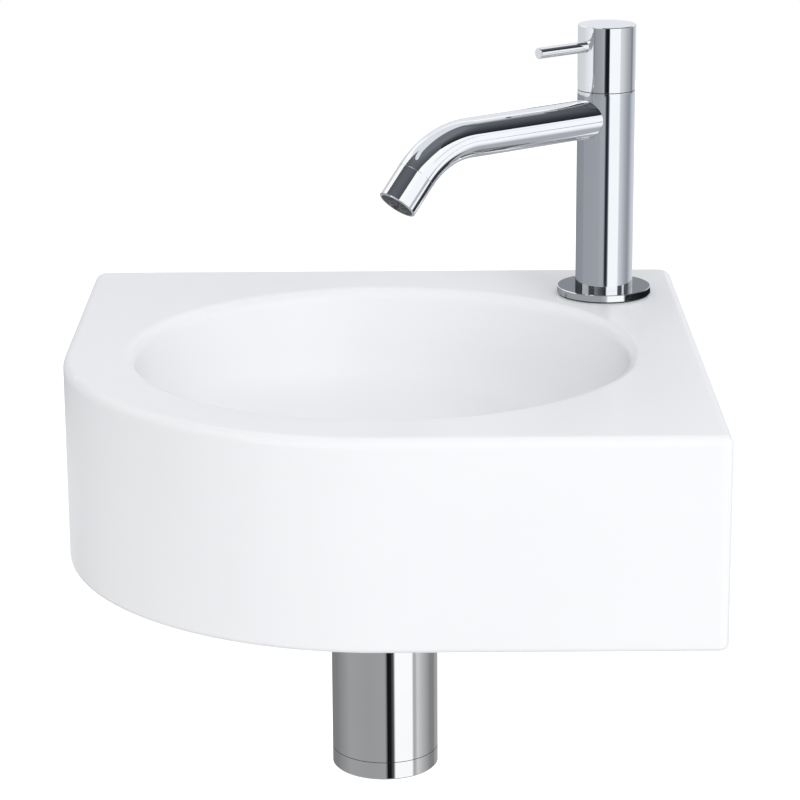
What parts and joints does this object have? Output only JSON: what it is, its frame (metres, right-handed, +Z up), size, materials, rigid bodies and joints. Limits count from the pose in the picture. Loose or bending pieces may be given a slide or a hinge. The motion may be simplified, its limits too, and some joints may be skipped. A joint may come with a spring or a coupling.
{
  "type": "corner basin",
  "caption": "Wall-hung ceramic corner basin with a round bowl, a chromed pillar tap with a pin lever and a bottle trap.",
  "frame": {"origin": "midway between the two wall studs, on the wall plane", "axes": "+Y into the wall behind, +X towards the side wall, +Z up"},
  "size_m": [0.3, 0.365, 0.3458],
  "materials": {
    "vitreous_china": "clear white glaze",
    "polished_chrome": "bright chrome plate",
    "raw_brass": "unplated brass, as turned",
    "zinc_steel": "zinc-plated steel",
    "black_rubber": "matte rubber",
    "white_plastic": "moulded plastic",
    "dark_plastic": "moulded plastic",
    "disc_ceramic": "lapped ceramic"
  },
  "bodies": {
    "fixture": {"aerator_housing": "polished_chrome", "aerator_insert": "dark_plastic", "aerator_washer": "black_rubber", "basin": "vitreous_china", "cap_glide_ring": "dark_plastic", "fixed_disc": "disc_ceramic", "headwork": "raw_brass", "headwork_seal": "black_rubber", "stud_bushes": "white_plastic", "stud_nuts": "zinc_steel", "stud_washers": "zinc_steel", "tap_back_nut": "raw_brass", "tap_base_gasket": "black_rubber", "tap_body": "polished_chrome", "tap_clamp_washer": "zinc_steel", "tap_flange": "polished_chrome", "tap_rubber_washer": "black_rubber", "tap_shank": "raw_brass", "tap_spout": "polished_chrome", "trap_body": "polished_chrome", "trap_dip_tube": "raw_brass", "trap_inlet_gasket": "black_rubber", "trap_inlet_nut": "polished_chrome", "trap_outlet_gasket": "black_rubber", "trap_outlet_nut": "polished_chrome", "trap_wall_pipe": "polished_chrome", "wall_rosette": "polished_chrome", "wall_studs": "zinc_steel", "waste_body": "polished_chrome", "waste_grate": "polished_chrome", "waste_lock_nut": "raw_brass", "waste_lower_gasket": "black_rubber", "waste_screw": "polished_chrome", "waste_top_gasket": "black_rubber"},
    "handle": {"handle_cap": "polished_chrome", "handle_lever": "polished_chrome", "handle_grub_screw": "zinc_steel", "spindle": "raw_brass", "moving_disc": "disc_ceramic"},
    "cup_seal": {"trap_cup_seal": "black_rubber"},
    "cleaning_cup": {"trap_cup": "polished_chrome"}
  },
  "joints": [
    {"name": "handle_turn", "type": "hinge", "parent": "fixture", "child": "handle", "pos_m": [0.1117, -0.0538, 0.165], "axis": [0, 0, 1], "range_deg": [0, 90]},
    {"name": "cup_drop", "type": "slide", "parent": "fixture", "child": "cup_seal", "axis": [0, 0, -1], "range_m": [0, 0.009]},
    {"name": "cup_turn", "type": "hinge", "parent": "cup_seal", "child": "cleaning_cup", "pos_m": [0, -0.16, -0.155], "axis": [0, 0, -1], "range_deg": [0, 1080]}
  ],
  "couplings": [
    {"joint": "cup_turn", "follows": "cup_drop", "rad_per_m": 2094.4}
  ]
}
